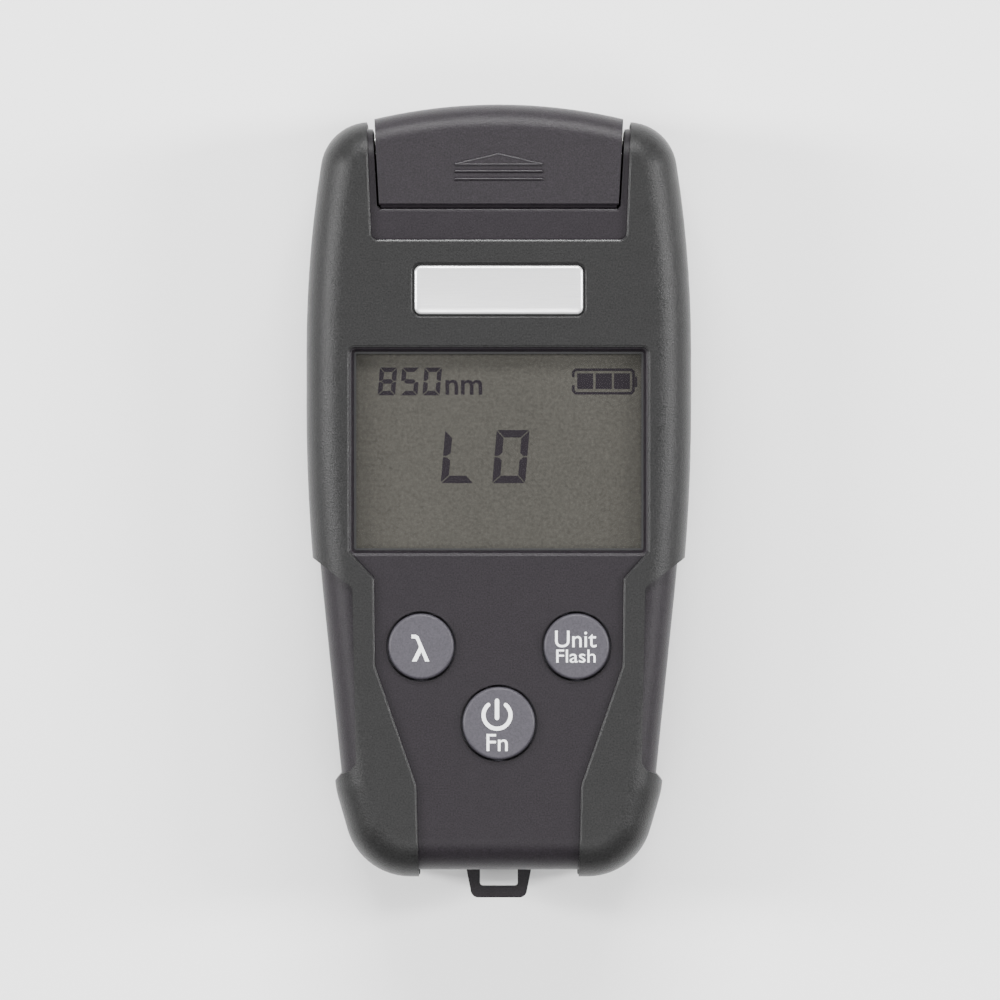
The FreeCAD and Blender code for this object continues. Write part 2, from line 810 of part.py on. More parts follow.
# --- boards -------------------------------------------------------------------------------------
def make_main_board():
    board = outline(armour_side + board_margin, board_z, board_face)
    board = board.common(box(-99, 99, board_foot, board_top, 0, 99))
    holes = [post(x, y, 0, 99, post_pilot + 0.3) for x, y in signed(board_posts)]
    holes += [post(x, y, 0, 99, boss_radius + 0.5) for x, y in signed(case_bosses)]
    return board.cut(fused(holes[0], holes[1:]))


def make_board_screws():
    screws = []
    for x, y in signed(board_posts):
        head_radius, head = board_screw_head
        shank = post(x, y, board_z, board_face + board_screw_reach, post_pilot - 0.05)
        screws.append(post(x, y, board_z - head, board_z, head_radius).fuse(shank))
    return group(screws)


def make_case_screws():
    screws = []
    for x, y in signed(case_bosses):
        head = post(x, y, screw_seat - screw_head, screw_seat, screw_head_radius)
        length, width, depth = screw_slot
        face = screw_seat - screw_head
        cross = slab(x, y, length, width, face - depth, face + depth)
        cross = cross.fuse(slab(x, y, width, length, face - depth, face + depth))
        shank = post(x, y, screw_seat, screw_seat + screw_reach, screw_radius - 0.02)
        screws.append(head.fuse(shank).cut(cross))
    return group(screws)


def on_board(x, y, width, length, height, corner=0.3):
    """A component's body, standing on the face of the main board."""
    return slab(x, y, width, length, board_face, board_face + height, corner)


def make_beeper():
    return post(beeper_at[0], beeper_at[1], board_face, board_face + beeper_height, beeper_radius)


# --- optical port -------------------------------------------------------------------------------
wall_back = bay_wall_top - bay_wall
flange_face = bay_wall_top + adapter_flange_thick
adapter_tip = flange_face + adapter_body + adapter_thread
block_back = wall_back - mount_depth
diode_back = wall_back - diode_seat - diode_can


def screw_rods(y0, y1, radius):
    """Rods on the axes of the adapter's two screws."""
    return [rod(y0, y1, radius, s * adapter_screw_at, port_z - s * adapter_screw_at) for s in (1, -1)]


def lead_rods(y0, y1, radius):
    """Rods on the axes of the photodiode's three leads."""
    rods = []
    for i in range(3):
        angle = math.radians(30 + 120 * i)
        x, z = diode_lead_circle * math.cos(angle), port_z + diode_lead_circle * math.sin(angle)
        rods.append(rod(y0, y1, radius, x, z))
    return rods


def rounded_block(half, y0, y1, corner):
    """Square block on the port's axis, with its long edges rounded."""
    block = box(-half, half, y0, y1, port_z - half, port_z + half)
    uprights = [e for e in block.Edges if e.BoundBox.YLength > (y1 - y0) / 2]
    return block.makeFillet(corner, uprights)


def make_fibre_adapter():
    """Flanged adapter: a keyed threaded barrel round the sleeve that takes the ferrule."""
    body = [rod(flange_face, flange_face + adapter_body, adapter_body_radius)]
    body.append(rod(flange_face, adapter_tip, adapter_thread_radius))
    body.append(rod(wall_back, bay_wall_top, spigot_radius))
    adapter = rounded_block(adapter_flange / 2, bay_wall_top, flange_face, 1.6).fuse(body)
    barrel_floor = flange_face + adapter_body - adapter_wall
    adapter = adapter.cut(rod(barrel_floor, adapter_tip + 1, adapter_thread_radius - adapter_wall))
    sleeve = rod(flange_face, adapter_tip - sleeve_wall, ferrule_radius + sleeve_wall)
    adapter = adapter.fuse(sleeve).cut(rod(wall_back - 1, adapter_tip + 1, ferrule_radius))
    key = box(-adapter_key_half, adapter_key_half, flange_face + adapter_body, adapter_tip + 1,
              port_z + ferrule_radius + sleeve_wall + slip, port_z + adapter_body_radius)
    clear = adapter_screw_radius + slip
    return adapter.cut(fused(key, screw_rods(bay_wall_top - 1, flange_face + 1, clear)))


def make_adapter_screws():
    radius, height = adapter_screw_head
    heads = screw_rods(flange_face, flange_face + height, radius)
    shanks = screw_rods(wall_back - adapter_screw_reach, flange_face, adapter_screw_radius)
    return group([head.fuse(shank) for head, shank in zip(heads, shanks)])


def make_detector_mount():
    """Metal block that holds the photodiode on the port's axis."""
    block = rounded_block(mount_half, block_back, wall_back, 2.0)
    bore = rod(block_back - 1, wall_back - diode_seat, diode_radius + slip)
    seat = rod(block_back - 1, diode_back, diode_radius + 0.6)
    aperture = rod(wall_back - 2 * diode_seat, wall_back + 1, ferrule_radius + 0.4)
    holes = screw_rods(wall_back - adapter_screw_reach - 1, wall_back + 1, adapter_screw_radius + slip / 2)
    return block.cut(fused(bore, [seat, aperture] + holes))


def make_photodiode():
    can = rod(diode_back, wall_back - diode_seat, diode_radius)
    rim = rod(diode_back - diode_rim, diode_back, diode_radius + 0.5)
    return can.fuse([rim] + lead_rods(block_back - detector_board_thick, diode_back, diode_lead))


def make_detector_board():
    half_height = detector_board_height / 2
    board = box(-detector_board_half, detector_board_half, block_back - detector_board_thick, block_back,
                port_z - half_height, port_z + half_height)
    holes = lead_rods(block_back - 2 * detector_board_thick, block_back + 1, diode_lead + 0.05)
    return board.cut(fused(holes[0], holes[1:]))


def make_board_header():
    return box(-header_half, header_half, board_top - header_overlap, block_back - detector_board_thick,
               board_face, board_face + header_height)


# --- battery bay --------------------------------------------------------------------------------
def make_cell(side):
    """AA cell; the left one points up, the right one down."""
    head = tray_head - contact_thick
    foot = tray_foot + contact_thick
    if side < 0:
        can = (head - cell_length, head - cell_nub)
        nub = (head - cell_nub, head)
    else:
        can = (foot + cell_nub, foot + cell_length)
        nub = (foot, foot + cell_nub)
    cell = rod(can[0], can[1], cell_radius, side * cell_x, cell_z)
    rims = [e for e in cell.Edges if e.BoundBox.YMax - e.BoundBox.YMin < 0.01]
    cell = cell.makeChamfer(cell_edge, rims)
    return cell.fuse(rod(nub[0], nub[1], cell_nub_radius, side * cell_x, cell_z))


def make_contact_leaves():
    """Bowed leaf spring that presses on each cell's flat end."""
    leaves = []
    bow = leaf_reach - contact_thick
    for side in (-1, 1):
        profile = [(0.0, -leaf_foot), (bow, -leaf_flat), (bow, leaf_flat), (0.0, leaf_foot)]
        outer = [Vector(side * cell_x - leaf_half, y, cell_z + z) for y, z in profile]
        inner = [v + Vector(0, contact_thick, 0) for v in reversed(outer)]
        leaf = Part.Face(Part.makePolygon(outer + inner + outer[:1])).extrude(Vector(2 * leaf_half, 0, 0))
        leaf.translate(Vector(0, tray_foot + contact_thick, 0))
        if side > 0:
            leaf = leaf.mirror(Vector(0, (tray_foot + tray_head) / 2, 0), Vector(0, 1, 0))
        leaves.append(leaf)
    return group(leaves)


def make_contact_plates():
    plates = []
    half = contact_half
    for side in (-1, 1):
        for y in (tray_foot, tray_head - contact_thick):
            plates.append(box(side * cell_x - half, side * cell_x + half, y, y + contact_thick,
                              cell_z - half, cell_z + half))
    return group(plates)


# --- every piece --------------------------------------------------------------------------------
def all_pieces():
    pieces = {
        "front_shell": make_front_shell(),
        "front_overmould": make_front_overmould(),
        "rear_shell": make_rear_shell(),
        "rear_overmould": make_rear_overmould(),
        "dust_cover": make_dust_cover(),
        "hinge_washers": make_hinge_washers(),
        "hinge_pin": axle(-pin_half, pin_half, pin_radius),
        "battery_door": make_battery_door(),
        "name_plate": make_name_plate(),
        "display_window": make_display_window(),
        "lcd_glass": make_lcd_glass(),
        "backlight_panel": make_backlight_panel(),
        "display_frame": make_display_frame(),
        "elastomer_strips": make_elastomer_strips(),
        "main_board": make_main_board(),
        "board_screws": make_board_screws(),
        "case_screws": make_case_screws(),
        "controller_chip": on_board(*controller),
        "amplifier_chip": on_board(*amplifier),
        "crystal_can": on_board(*crystal, corner=crystal[2] * 0.47),
        "beeper": make_beeper(),
        "board_header": make_board_header(),
        "fibre_adapter": make_fibre_adapter(),
        "adapter_screws": make_adapter_screws(),
        "detector_mount": make_detector_mount(),
        "photodiode": make_photodiode(),
        "detector_board": make_detector_board(),
        "battery_cell_left": make_cell(-1),
        "battery_cell_right": make_cell(1),
        "contact_leaves": make_contact_leaves(),
        "contact_plates": make_contact_plates(),
    }
    for name, (x, y, radius) in key_places.items():
        pieces[name + "_key"] = key_cap(x, y, radius)
        pieces[name + "_switch"] = switch_base(x, y)
        pieces[name + "_plunger"] = plunger(x, y)
    return pieces


os.makedirs("parts", exist_ok=True)
for node, shape in all_pieces().items():
    shape = shape.removeSplitter() if len(shape.Solids) == 1 else shape
    shape.translate(Vector(0, -middle_y, 0))
    shape.exportStep("parts/" + node + ".step")
    print(node, "valid" if shape.isValid() else "INVALID", len(shape.Solids), round(shape.Volume, 1))
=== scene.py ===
import math

import bmesh
import bpy
from mathutils import Matrix, Vector


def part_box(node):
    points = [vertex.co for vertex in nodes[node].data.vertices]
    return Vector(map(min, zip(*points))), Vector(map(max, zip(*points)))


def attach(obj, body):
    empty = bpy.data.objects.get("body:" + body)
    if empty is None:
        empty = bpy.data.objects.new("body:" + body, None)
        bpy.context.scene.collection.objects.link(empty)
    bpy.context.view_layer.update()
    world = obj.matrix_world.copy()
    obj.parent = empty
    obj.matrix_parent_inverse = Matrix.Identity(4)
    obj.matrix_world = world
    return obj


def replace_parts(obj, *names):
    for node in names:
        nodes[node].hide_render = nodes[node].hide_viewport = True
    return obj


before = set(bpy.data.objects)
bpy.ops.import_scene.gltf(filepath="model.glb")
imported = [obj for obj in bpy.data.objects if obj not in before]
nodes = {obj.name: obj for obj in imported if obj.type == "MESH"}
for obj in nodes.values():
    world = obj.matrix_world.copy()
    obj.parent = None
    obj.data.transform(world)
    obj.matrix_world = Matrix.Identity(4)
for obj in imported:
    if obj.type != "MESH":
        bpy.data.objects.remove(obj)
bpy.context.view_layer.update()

MM = 0.001

# --- camera, floor and light: lengths in metres, power in watts ----------------------------------
CAMERA_HEIGHT = 1.9
CAMERA_OVER = (0.0002, 0.0004)
FIELD_WIDTH = 0.16796
SENSOR_WIDTH = 36.0
FLOOR_HALF = 3.0
FLOOR_COLOUR = (0.93, 0.93, 0.93, 1.0)
WORLD_STRENGTH = 0.55
SOFTBOXES = (
    # name, place, width, length, power
    ("softbox_left", (-1.15, 0.15, 0.86), 0.2, 0.8, 27.0),
    ("softbox_right", (1.15, 0.15, 0.86), 0.2, 0.8, 26.5),
    ("softbox_top", (0.0, 1.1, 1.0), 1.0, 0.35, 35.0),
    ("softbox_over", (0.0, -0.7, 2.3), 1.0, 0.6, 26.0),
)


def add_camera():
    """Looks straight down on the front of the meter, from far enough away to be almost flat."""
    camera = bpy.data.cameras.new("camera")
    camera.sensor_width = SENSOR_WIDTH
    camera.lens = SENSOR_WIDTH * CAMERA_HEIGHT / FIELD_WIDTH
    camera.clip_end = 20.0
    seat = bpy.data.objects.new("camera", camera)
    seat.location = (*CAMERA_OVER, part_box("front_overmould")[1][2] + CAMERA_HEIGHT)
    bpy.context.scene.collection.objects.link(seat)
    bpy.context.scene.camera = seat


def add_floor():
    bm = bmesh.new()
    bmesh.ops.create_grid(bm, x_segments=1, y_segments=1, size=FLOOR_HALF)
    floor = add_mesh("floor", bm)
    pale = Finish("pale_floor", Base_Color=FLOOR_COLOUR, Roughness=0.9)
    floor.data.materials.append(pale.material)


def add_softbox(name, place, width, length, power):
    """Rectangular lamp that faces the middle of the meter."""
    lamp = bpy.data.lights.new(name, "AREA")
    lamp.shape = "RECTANGLE"
    lamp.size = width
    lamp.size_y = length
    lamp.energy = power
    holder = bpy.data.objects.new(name, lamp)
    holder.location = place
    holder.rotation_euler = (Vector((0, 0, 0)) - Vector(place)).to_track_quat("-Z", "Y").to_euler()
    bpy.context.scene.collection.objects.link(holder)


def add_lights():
    world = bpy.data.worlds.new("studio")
    world.use_nodes = True
    background = world.node_tree.nodes["Background"]
    background.inputs["Color"].default_value = (1.0, 1.0, 1.0, 1.0)
    background.inputs["Strength"].default_value = WORLD_STRENGTH
    bpy.context.scene.world = world
    for softbox in SOFTBOXES:
        add_softbox(*softbox)


# --- mesh helpers: lengths in millimetres --------------------------------------------------------
WELD = 0.0005
CAP_STEPS = 8
CORNER_STEPS = 5
ARC_STEPS = 24
LATHE_STEPS = 72
LETTER_STEPS = 4
HALF_ROUND_STEPS = 8
BEAD_SIDES = 8


def add_mesh(name, bm):
    mesh = bpy.data.meshes.new(name)
    bm.to_mesh(mesh)
    bm.free()
    piece = bpy.data.objects.new(name, mesh)
    bpy.context.scene.collection.objects.link(piece)
    return piece


def add_solid(name, bm, finish, body, sharp=30.0):
    """Piece from a closed mesh in millimetres: smoothed up to its sharp edges, finished, set on its body."""
    bmesh.ops.remove_doubles(bm, verts=bm.verts[:], dist=WELD)
    bmesh.ops.recalc_face_normals(bm, faces=bm.faces[:])
    bmesh.ops.scale(bm, vec=(MM, MM, MM), verts=bm.verts[:])
    piece = add_mesh(name, bm)
    piece.data.shade_smooth()
    piece.data.set_sharp_from_angle(angle=math.radians(sharp))
    piece.data.materials.append(finishes[finish])
    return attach(piece, body)


def node_span(name):
    """(lowest corner, highest corner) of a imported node, in millimetres."""
    return [Vector(corner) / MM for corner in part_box(name)]


def lathe(bm, profile, centre):
    """Turns a (radius, height) profile about the upright axis through centre."""
    x, y = centre
    corners = [bm.verts.new((x + r, y, z)) for r, z in profile]
    edges = [bm.edges.new(pair) for pair in zip(corners, corners[1:])]
    bmesh.ops.spin(bm, geom=corners + edges, axis=(0, 0, 1), cent=(x, y, 0), angle=2 * math.pi,
                   steps=LATHE_STEPS, use_merge=True)


def push_out(bm, faces, way):
    """Makes flat faces a closed block, by drawing a copy of them out along way. Gives the far faces."""
    grown = bmesh.ops.extrude_face_region(bm, geom=faces, use_keep_orig=True)["geom"]
    moved = [item for item in grown if isinstance(item, bmesh.types.BMVert)]
    bmesh.ops.translate(bm, vec=way, verts=moved)
    return [item for item in grown if isinstance(item, bmesh.types.BMFace)]


def raise_faces(bm, foot, height):
    """Turns the flat faces in bm, drawn at Z = 0, into closed plates from foot up to foot + height."""
    tops = push_out(bm, bm.faces[:], (0, 0, height))
    bmesh.ops.translate(bm, vec=(0, 0, foot), verts=bm.verts[:])
    return tops


def face_through(bm, points):
    return bm.faces.new([bm.verts.new(point) for point in points])


def polygon(bm, corners):
    return face_through(bm, [(x, y, 0) for x, y in corners])


def arc_points(x, y, radius, start, end, steps=ARC_STEPS):
    """Points round an arc, its ends in degrees."""
    angles = [math.radians(start + (end - start) * i / steps) for i in range(steps + 1)]
    return [(x + radius * math.cos(a), y + radius * math.sin(a)) for a in angles]


def rounded_outline(x0, x1, y0, y1, radius):
    """Corner points of a rounded rectangle, anticlockwise."""
    centres = [(x1 - radius, y1 - radius, 0), (x0 + radius, y1 - radius, 90),
               (x0 + radius, y0 + radius, 180), (x1 - radius, y0 + radius, 270)]
    return [point for x, y, turn in centres
            for point in arc_points(x, y, radius, turn, turn + 90, CORNER_STEPS)]


def ribbon(bm, points, width, closed=False, blunt=False):
    """Strip of even width along a run of points, with round ends unless it is blunt or closed."""
    half = width / 2
    run = [Vector(p) for p in points]
    last = len(run) - 1
    corners = []
    for i, here in enumerate(run):
        before = (here - run[i - 1]).normalized() if closed or i else None
        after = (run[(i + 1) % len(run)] - here).normalized() if closed or i < last else None
        along = ((before or after) + (after or before)).normalized()
        across = Vector((-along.y, along.x))
        lean = across.dot(Vector((-(before or after).y, (before or after).x)))
        reach = across * half / lean
        corners.append([bm.verts.new((*point, 0)) for point in (here + reach, here - reach)])
    joined = corners[1:] + corners[:1] if closed else corners[1:]
    for a, b in zip(corners, joined):
        bm.faces.new((a[0], b[0], b[1], a[1]))
    if not (closed or blunt):
        round_end(bm, run[0], run[1], corners[0], half)
        round_end(bm, run[-1], run[-2], corners[-1][::-1], half)


def round_end(bm, end, inner, pair, half):
    """Half-round cap between the pair of corners at a ribbon's end."""
    out = (end - inner).normalized()
    start = math.atan2(pair[0].co.y - end.y, pair[0].co.x - end.x)
    nudge = start + 0.1
    way = 1 if out.dot(Vector((math.cos(nudge), math.sin(nudge)))) > 0 else -1
    turns = [start + way * math.pi * k / CAP_STEPS for k in range(1, CAP_STEPS)]
    cap = [bm.verts.new((end.x + half * math.cos(t), end.y + half * math.sin(t), 0)) for t in turns]
    bm.faces.new([pair[0]] + cap + [pair[1]])


def half_round(bm, start, end, radius):
    """Bead of half-round section from one point to another, sunk to its middle."""
    start, end = Vector(start), Vector(end)
    side = (end - start).normalized().cross(Vector((0, 0, 1)))
    turns = [math.pi * i / HALF_ROUND_STEPS for i in range(HALF_ROUND_STEPS + 1)]
    section = [side * (radius * math.cos(t)) + Vector((0, 0, radius * math.sin(t))) for t in turns]
    push_out(bm, [face_through(bm, [start + point for point in section])], end - start)


def chain_up(edges):
    """Joins edges end to end. Gives each run of points, and whether it closes on itself."""
    joined = {}
    for edge in edges:
        for vert in edge.verts:
            joined.setdefault(vert, []).append(edge)
    left = set(edges)
    runs = []
    for start in sorted(joined, key=lambda vert: len(joined[vert])):
        here, run = start, [start]
        step = next((edge for edge in joined[here] if edge in left), None)
        while step:
            left.discard(step)
            here = step.other_vert(here)
            run.append(here)
            step = next((edge for edge in joined[here] if edge in left), None)
        if len(run) > 2:
            closed = run[0] is run[-1]
            runs.append(([vert.co.copy() for vert in (run[:-1] if closed else run)], closed))
    return runs


def bead(bm, points, radius, closed=False):
    """Round bead along a run of points that stays nearly level."""
    rings = []
    last = len(points) - 1
    for i, here in enumerate(points):
        before = (here - points[i - 1]).xy.normalized() if closed or i else None
        after = (points[(i + 1) % len(points)] - here).xy.normalized() if closed or i < last else None
        along = ((before or after) + (after or before)).normalized()
        mitre = 1 / along.dot(before or after)
        turn = Matrix(((-along.y * mitre, 0, along.x), (along.x * mitre, 0, along.y), (0, 1, 0))).to_4x4()
        ring = bmesh.ops.create_circle(bm, segments=BEAD_SIDES, radius=radius,
                                       matrix=Matrix.Translation(here) @ turn,
                                       cap_ends=not closed and i in (0, last))["verts"]
        rings.append([edge for vert in ring for edge in vert.link_edges if edge.verts[0] is vert])
    for here, there in zip(rings, rings[1:] + rings[:1] if closed else rings[1:]):
        bmesh.ops.bridge_loops(bm, edges=here + there)


def add_flat(name, draw, foot, height, finish, body):
    """Thin plate piece: draw fills the mesh with flat faces, which are then given their thickness."""
    bm = bmesh.new()
    draw(bm)
    raise_faces(bm, foot, height)
    add_solid(name, bm, finish, body)


def add_word(name, word, box, foot, height, weight, finish, body):
    """Printed word, stretched to fill its box (left, right, foot, top)."""
    curve = bpy.data.curves.new(name, "FONT")
    curve.body = word
    curve.offset = weight
    curve.resolution_u = LETTER_STEPS
    typed = bpy.data.objects.new(name, curve)
    bpy.context.scene.collection.objects.link(typed)
    mesh = bpy.data.meshes.new_from_object(typed.evaluated_get(bpy.context.evaluated_depsgraph_get()))
    bpy.data.objects.remove(typed)
    bm = bmesh.new()
    bm.from_mesh(mesh)
    bpy.data.meshes.remove(mesh)
    for axis, (start, end) in enumerate((box[:2], box[2:])):
        low = min(vert.co[axis] for vert in bm.verts)
        high = max(vert.co[axis] for vert in bm.verts)
        for vert in bm.verts:
            vert.co[axis] = start + (end - start) * (vert.co[axis] - low) / (high - low)
    raise_faces(bm, foot, height)
    add_solid(name, bm, finish, body)


# --- shader maths --------------------------------------------------------------------------------
class Signal:
    """An output socket in a material, with the arithmetic that the finishes use."""

    def __init__(self, tree, socket):
        self.tree = tree
        self.socket = socket

    def _math(self, operation, first, second):
        step = self.tree.nodes.new("ShaderNodeMath")
        step.operation = operation
        for slot, value in zip(step.inputs, (first, second)):
            if isinstance(value, Signal):
                self.tree.links.new(value.socket, slot)
            else:
                slot.default_value = value
        return Signal(self.tree, step.outputs[0])

    def __add__(self, other):
        return self._math("ADD", self, other)

    __radd__ = __add__

    def __sub__(self, other):
        return self._math("SUBTRACT", self, other)

    def __rsub__(self, other):
        return self._math("SUBTRACT", other, self)

    def __mul__(self, other):
        return self._math("MULTIPLY", self, other)

    __rmul__ = __mul__


class Finish:
    """One material: a Principled shader whose constants are set on its own sockets."""

    def __init__(self, name, **constants):
        self.material = bpy.data.materials.new(name)
        self.material.use_nodes = True
        self.tree = self.material.node_tree
        self.shader = self.tree.nodes["Principled BSDF"]
        for socket, value in constants.items():
            self.shader.inputs[socket.replace("_", " ")].default_value = value

    def node(self, kind, settings=None, output=0, **sockets):
        """Any node: its settings first, then the values or links of its sockets."""
        made = self.tree.nodes.new(kind)
        for setting, value in (settings or {}).items():
            setattr(made, setting, value)
        for socket, value in sockets.items():
            target = made.inputs[socket.replace("_", " ")]
            if isinstance(value, Signal):
                self.tree.links.new(value.socket, target)
            else:
                target.default_value = value
        return Signal(self.tree, made.outputs[output])

    def place(self):
        return self.node("ShaderNodeTexCoord", output="Object")

    def noise(self, scale, detail=2.0, roughness=0.5, stretch=(1.0, 1.0, 1.0)):
        spot = self.node("ShaderNodeMapping", Vector=self.place(), Scale=stretch)
        return self.node("ShaderNodeTexNoise", Vector=spot, Scale=scale, Detail=detail, Roughness=roughness)

    def feed(self, socket, signal):
        self.tree.links.new(signal.socket, self.shader.inputs[socket])

    def tint(self, full, bare, mask):
        """Base colour that goes from bare to full as the mask goes from 0 to 1."""
        mixed = self.node("ShaderNodeMix", {"data_type": "RGBA"}, output=2, Factor=mask)
        tones = mixed.socket.node.inputs
        tones[6].default_value = (*bare, 1.0)
        tones[7].default_value = (*full, 1.0)
        self.feed("Base Color", mixed)

    def roughen(self, middle, swing, signal):
        """Roughness that swings about its middle with the signal."""
        self.feed("Roughness", signal * swing + (middle - swing / 2))

    def relief(self, height, depth):
        bump = self.node("ShaderNodeBump", Height=height, Distance=depth, Strength=1.0)
        self.feed("Normal", bump)


def shade(colour, factor):
    return tuple(channel * factor for channel in colour)


# --- finishes ------------------------------------------------------------------------------------
MOULDED = {
    # finish: material, colour, roughness, grain a metre, depth of the grain in metres, mottle, gloss
    "armour": ("armour_rubber", (0.0098, 0.0097, 0.0098), 0.39, 3600.0, 6e-5, 1.0, 0.22),
    # The armour's lip: the same rubber, its colour lighter than the armour's as a painted highlight along the
    # edges
    "lip": ("armour_lip_painted_highlight", (0.0125, 0.0126, 0.0127), 0.3, 3600.0, 3e-5, 0.6, 0.26),
    # The ledge's lip: glossier than the armour, and its colour three times lighter as a painted highlight
    "polished_lip_painted_highlight": ("polished_lip_painted_highlight", (0.03, 0.0305, 0.031), 0.24, 3600.0, 1e-5, 0.5, 1.0),
    "shell_lip": ("shell_lip", (0.0105, 0.0084, 0.011), 0.32, 3600.0, 3e-5, 0.6, 0.42),
    "charcoal": ("charcoal_plastic", (0.0096, 0.0075, 0.0099), 0.44, 4000.0, 5e-5, 1.0, 0.2),
    "cover": ("cover_plastic", (0.0103, 0.0081, 0.0106), 0.42, 4000.0, 5e-5, 1.0, 0.26),
    "key": ("key_plastic", (0.0363, 0.0332, 0.0419), 0.5, 3600.0, 2e-5, 0.45, 0.4),
    "white": ("white_plastic", (0.75, 0.75, 0.72), 0.4, 1500.0, 4e-6, 0.03, 0.4),
    "strip": ("strip_rubber", (0.5, 0.32, 0.34), 0.6, 2500.0, 1e-5, 0.1, 0.4),
    "laminate": ("board_laminate", (0.012, 0.1, 0.035), 0.35, 1800.0, 6e-6, 0.2, 0.4),
    "chip": ("chip_epoxy", (0.02, 0.02, 0.022), 0.5, 3500.0, 8e-6, 0.15, 0.4),
    "ceramic": ("zirconia_ceramic", (0.62, 0.62, 0.6), 0.25, 900.0, 1e-6, 0.02, 0.4),
    # Flat black: the border round the window, and the painted shade of the adapter screws' cross recesses
    "black_border_and_painted_shade": ("black_border_and_painted_shade", (0.008, 0.008, 0.009), 0.4, 3000.0, 1e-6, 0.1, 0.4),
    "ink": ("legend_ink", (0.88, 0.89, 0.9), 0.55, 3000.0, 4e-6, 0.05, 0.4),
    "segment": ("dark_segment", (0.0156, 0.0128, 0.0162), 0.5, 3000.0, 2e-6, 0.1, 0.03),
}
SPECKLE, CLOUD, SPECKLE_START = 1.45, 0.12, 0.285
GRAIN_SWING = 0.16
BRUSH_LINES = 3000.0
BRUSH_STRETCH = (0.05, 1.0, 1.0)
BRUSH_SHADES = (0.8, 1.05)
BRUSH_CONTRAST, BRUSH_START = 2.2, 0.6
BRUSH_SWING = 0.2
TURNED_GRAIN = 900.0
TURNED_SHADES = (1.05, 0.88)
CELL_CLOUDS, CELL_GRAIN = 55.0, 2000.0
CELL_TONES = ((0.077, 0.0732, 0.0634), (0.0275, 0.0262, 0.0227))
SLEEVE_TONES = ((0.42, 0.2, 0.07), (0.03, 0.032, 0.04))
BAND_FOOT = -14.0
BAND_EDGE = 8000.0


def moulded(name, colour, roughness, grain, depth, mottle, gloss):
    """Fine-grained moulded surface, speckled in its tone."""
    finish = Finish(name, Specular_IOR_Level=gloss)
    fine = finish.noise(grain, detail=3.0, roughness=0.6)
    broad = finish.noise(grain * 0.1)
    finish.tint(shade(colour, 1.0 + mottle), shade(colour, 1.0 - mottle),
                fine * SPECKLE + broad * CLOUD - SPECKLE_START)
    finish.roughen(roughness, GRAIN_SWING, fine)
    finish.relief(fine, depth)
    return finish.material


def brushed_metal(name, colour, roughness, depth, metallic):
    """Metal with fine brush lines along X."""
    finish = Finish(name, Metallic=metallic)
    lines = finish.noise(BRUSH_LINES, detail=4.0, roughness=0.7, stretch=BRUSH_STRETCH)
    full, bare = (shade(colour, factor) for factor in BRUSH_SHADES)
    finish.tint(full, bare, lines * BRUSH_CONTRAST - BRUSH_START)
    finish.roughen(roughness, BRUSH_SWING, lines)
    finish.relief(lines, depth)
    return finish.material


def turned_metal(name, colour, roughness):
    finish = Finish(name, Metallic=1.0)
    soft = finish.noise(TURNED_GRAIN, detail=3.0)
    full, bare = (shade(colour, factor) for factor in TURNED_SHADES)
    finish.tint(full, bare, soft)
    finish.roughen(roughness, GRAIN_SWING, soft)
    return finish.material


def clear_acrylic():
    """Clear window: nearly all of what is behind shows, with a faint surface reflection."""
    return Finish("clear_acrylic", Base_Color=(0.02, 0.02, 0.02, 1.0), Roughness=0.1, Alpha=0.08,
                  Specular_IOR_Level=0.1).material


def crystal_cell():
    """Unlit liquid crystal cell: finely mottled olive grey."""
    finish = Finish("crystal_cell", Specular_IOR_Level=0.08)
    broad = finish.noise(CELL_CLOUDS)
    fine = finish.noise(CELL_GRAIN)
    finish.tint(*CELL_TONES, broad * 0.3 + fine - 0.15)
    finish.roughen(0.55, 0.1, fine)
    return finish.material


def cell_sleeve():
    """Shrunk sleeve of a battery cell: dark, with a copper-coloured band at its positive end."""
    finish = Finish("cell_sleeve", Roughness=0.3)
    along = finish.node("ShaderNodeSeparateXYZ", output=1, Vector=finish.place())
    finish.tint(*SLEEVE_TONES, (along - BAND_FOOT * MM) * BAND_EDGE)
    return finish.material


NODE_FINISHES = {
    "armour": ["front_overmould", "rear_overmould"],
    "charcoal": ["front_shell", "rear_shell", "battery_door", "hinge_washers"],
    "cover": ["dust_cover"],
    "key": ["wavelength_key", "unit_key", "power_key"],
    "plate": ["name_plate"],
    "window": ["display_window"],
    "cell_glass": ["lcd_glass"],
    "white": ["backlight_panel", "display_frame"],
    "strip": ["elastomer_strips"],
    "steel": ["hinge_pin", "board_screws", "case_screws", "crystal_can", "adapter_screws",
              "contact_leaves", "contact_plates"],
    "laminate": ["main_board", "detector_board"],
    "chip": ["controller_chip", "amplifier_chip", "beeper", "board_header",
             "wavelength_switch", "unit_switch", "power_switch",
             "wavelength_plunger", "unit_plunger", "power_plunger"],
    "nickel": ["fibre_adapter", "photodiode"],
    "block": ["detector_mount"],
    "sleeve": ["battery_cell_left", "battery_cell_right"],
}
finishes = {}


def make_finishes():
    finishes.update({finish: moulded(*row) for finish, row in MOULDED.items()})
    finishes["plate"] = brushed_metal("brushed_plate", (0.93, 0.93, 0.94), 0.36, 6e-6, 0.75)
    finishes["block"] = brushed_metal("machined_block", (0.72, 0.72, 0.73), 0.36, 4e-6, 1.0)
    finishes["steel"] = turned_metal("zinc_steel", (0.62, 0.62, 0.6), 0.34)
    finishes["nickel"] = turned_metal("nickel", (0.7, 0.67, 0.61), 0.24)
    finishes["window"] = clear_acrylic()
    finishes["cell_glass"] = crystal_cell()
    finishes["sleeve"] = cell_sleeve()


def finish_nodes():
    for finish, names in NODE_FINISHES.items():
        for name in names:
            for slot in nodes[name].material_slots:
                slot.material = finishes[finish]


